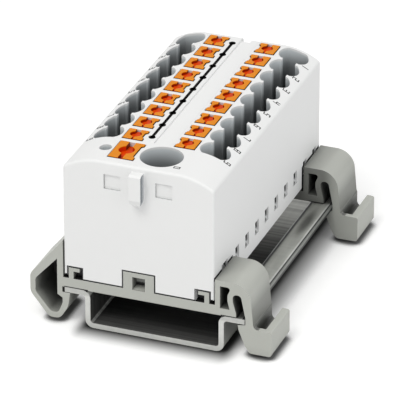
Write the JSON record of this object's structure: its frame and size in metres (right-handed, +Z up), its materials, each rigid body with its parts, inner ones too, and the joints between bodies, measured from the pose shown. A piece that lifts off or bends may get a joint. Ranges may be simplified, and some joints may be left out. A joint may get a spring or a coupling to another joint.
{
  "type": "power distribution block",
  "caption": "Rail-mounted push-in distribution block: white housing with two rows of wire entries and orange release buttons, on grey clip-on adapters over a short metal rail.",
  "frame": {"origin": "centre of the mounting rail's underside", "axes": "+Z up out of the rail, +Y along the rail from the infeed end to the grooved end, +X across the rail towards the sprung latches"},
  "size_m": [0.047, 0.061, 0.0349],
  "materials": {
    "white_plastic": "satin",
    "grey_plastic": "satin",
    "orange_plastic": "satin",
    "galvanised_steel": "satin",
    "spring_steel": "satin",
    "copper": "satin"
  },
  "bodies": {
    "rail": {"mounting_rail": "galvanised_steel"},
    "block": {"housing": "white_plastic", "base_cover": "white_plastic", "busbar": "copper", "front_adapter": "grey_plastic", "rear_adapter": "grey_plastic", "infeed_spring": "spring_steel", "spring_l1": "spring_steel", "spring_l2": "spring_steel", "spring_l3": "spring_steel", "spring_l4": "spring_steel", "spring_l5": "spring_steel", "spring_l6": "spring_steel", "spring_l7": "spring_steel", "spring_l8": "spring_steel", "spring_l9": "spring_steel", "spring_r1": "spring_steel", "spring_r2": "spring_steel", "spring_r3": "spring_steel", "spring_r4": "spring_steel", "spring_r5": "spring_steel", "spring_r6": "spring_steel", "spring_r7": "spring_steel", "spring_r8": "spring_steel", "spring_r9": "spring_steel"},
    "press_infeed": {"infeed_button": "orange_plastic"},
    "press_l1": {"button_l1": "orange_plastic"},
    "press_l2": {"button_l2": "orange_plastic"},
    "press_l3": {"button_l3": "orange_plastic"},
    "press_l4": {"button_l4": "orange_plastic"},
    "press_l5": {"button_l5": "orange_plastic"},
    "press_l6": {"button_l6": "orange_plastic"},
    "press_l7": {"button_l7": "orange_plastic"},
    "press_l8": {"button_l8": "orange_plastic"},
    "press_l9": {"button_l9": "orange_plastic"},
    "press_r1": {"button_r1": "orange_plastic"},
    "press_r2": {"button_r2": "orange_plastic"},
    "press_r3": {"button_r3": "orange_plastic"},
    "press_r4": {"button_r4": "orange_plastic"},
    "press_r5": {"button_r5": "orange_plastic"},
    "press_r6": {"button_r6": "orange_plastic"},
    "press_r7": {"button_r7": "orange_plastic"},
    "press_r8": {"button_r8": "orange_plastic"},
    "press_r9": {"button_r9": "orange_plastic"}
  },
  "joints": [
    {"name": "block_on_rail", "type": "slide", "parent": "rail", "child": "block", "axis": [0, 1, 0], "range_m": [-0.008, 0.008]},
    {"name": "push_infeed", "type": "slide", "parent": "block", "child": "press_infeed", "axis": [0, 0, -1], "range_m": [0, 0.0013], "stiffness_N_per_m": 3000, "springref_m": -0.001, "deforming": ["infeed_spring"]},
    {"name": "push_l1", "type": "slide", "parent": "block", "child": "press_l1", "axis": [0, 0, -1], "range_m": [0, 0.0013], "stiffness_N_per_m": 3000, "springref_m": -0.001, "deforming": ["spring_l1"]},
    {"name": "push_l2", "type": "slide", "parent": "block", "child": "press_l2", "axis": [0, 0, -1], "range_m": [0, 0.0013], "stiffness_N_per_m": 3000, "springref_m": -0.001, "deforming": ["spring_l2"]},
    {"name": "push_l3", "type": "slide", "parent": "block", "child": "press_l3", "axis": [0, 0, -1], "range_m": [0, 0.0013], "stiffness_N_per_m": 3000, "springref_m": -0.001, "deforming": ["spring_l3"]},
    {"name": "push_l4", "type": "slide", "parent": "block", "child": "press_l4", "axis": [0, 0, -1], "range_m": [0, 0.0013], "stiffness_N_per_m": 3000, "springref_m": -0.001, "deforming": ["spring_l4"]},
    {"name": "push_l5", "type": "slide", "parent": "block", "child": "press_l5", "axis": [0, 0, -1], "range_m": [0, 0.0013], "stiffness_N_per_m": 3000, "springref_m": -0.001, "deforming": ["spring_l5"]},
    {"name": "push_l6", "type": "slide", "parent": "block", "child": "press_l6", "axis": [0, 0, -1], "range_m": [0, 0.0013], "stiffness_N_per_m": 3000, "springref_m": -0.001, "deforming": ["spring_l6"]},
    {"name": "push_l7", "type": "slide", "parent": "block", "child": "press_l7", "axis": [0, 0, -1], "range_m": [0, 0.0013], "stiffness_N_per_m": 3000, "springref_m": -0.001, "deforming": ["spring_l7"]},
    {"name": "push_l8", "type": "slide", "parent": "block", "child": "press_l8", "axis": [0, 0, -1], "range_m": [0, 0.0013], "stiffness_N_per_m": 3000, "springref_m": -0.001, "deforming": ["spring_l8"]},
    {"name": "push_l9", "type": "slide", "parent": "block", "child": "press_l9", "axis": [0, 0, -1], "range_m": [0, 0.0013], "stiffness_N_per_m": 3000, "springref_m": -0.001, "deforming": ["spring_l9"]},
    {"name": "push_r1", "type": "slide", "parent": "block", "child": "press_r1", "axis": [0, 0, -1], "range_m": [0, 0.0013], "stiffness_N_per_m": 3000, "springref_m": -0.001, "deforming": ["spring_r1"]},
    {"name": "push_r2", "type": "slide", "parent": "block", "child": "press_r2", "axis": [0, 0, -1], "range_m": [0, 0.0013], "stiffness_N_per_m": 3000, "springref_m": -0.001, "deforming": ["spring_r2"]},
    {"name": "push_r3", "type": "slide", "parent": "block", "child": "press_r3", "axis": [0, 0, -1], "range_m": [0, 0.0013], "stiffness_N_per_m": 3000, "springref_m": -0.001, "deforming": ["spring_r3"]},
    {"name": "push_r4", "type": "slide", "parent": "block", "child": "press_r4", "axis": [0, 0, -1], "range_m": [0, 0.0013], "stiffness_N_per_m": 3000, "springref_m": -0.001, "deforming": ["spring_r4"]},
    {"name": "push_r5", "type": "slide", "parent": "block", "child": "press_r5", "axis": [0, 0, -1], "range_m": [0, 0.0013], "stiffness_N_per_m": 3000, "springref_m": -0.001, "deforming": ["spring_r5"]},
    {"name": "push_r6", "type": "slide", "parent": "block", "child": "press_r6", "axis": [0, 0, -1], "range_m": [0, 0.0013], "stiffness_N_per_m": 3000, "springref_m": -0.001, "deforming": ["spring_r6"]},
    {"name": "push_r7", "type": "slide", "parent": "block", "child": "press_r7", "axis": [0, 0, -1], "range_m": [0, 0.0013], "stiffness_N_per_m": 3000, "springref_m": -0.001, "deforming": ["spring_r7"]},
    {"name": "push_r8", "type": "slide", "parent": "block", "child": "press_r8", "axis": [0, 0, -1], "range_m": [0, 0.0013], "stiffness_N_per_m": 3000, "springref_m": -0.001, "deforming": ["spring_r8"]},
    {"name": "push_r9", "type": "slide", "parent": "block", "child": "press_r9", "axis": [0, 0, -1], "range_m": [0, 0.0013], "stiffness_N_per_m": 3000, "springref_m": -0.001, "deforming": ["spring_r9"]}
  ]
}
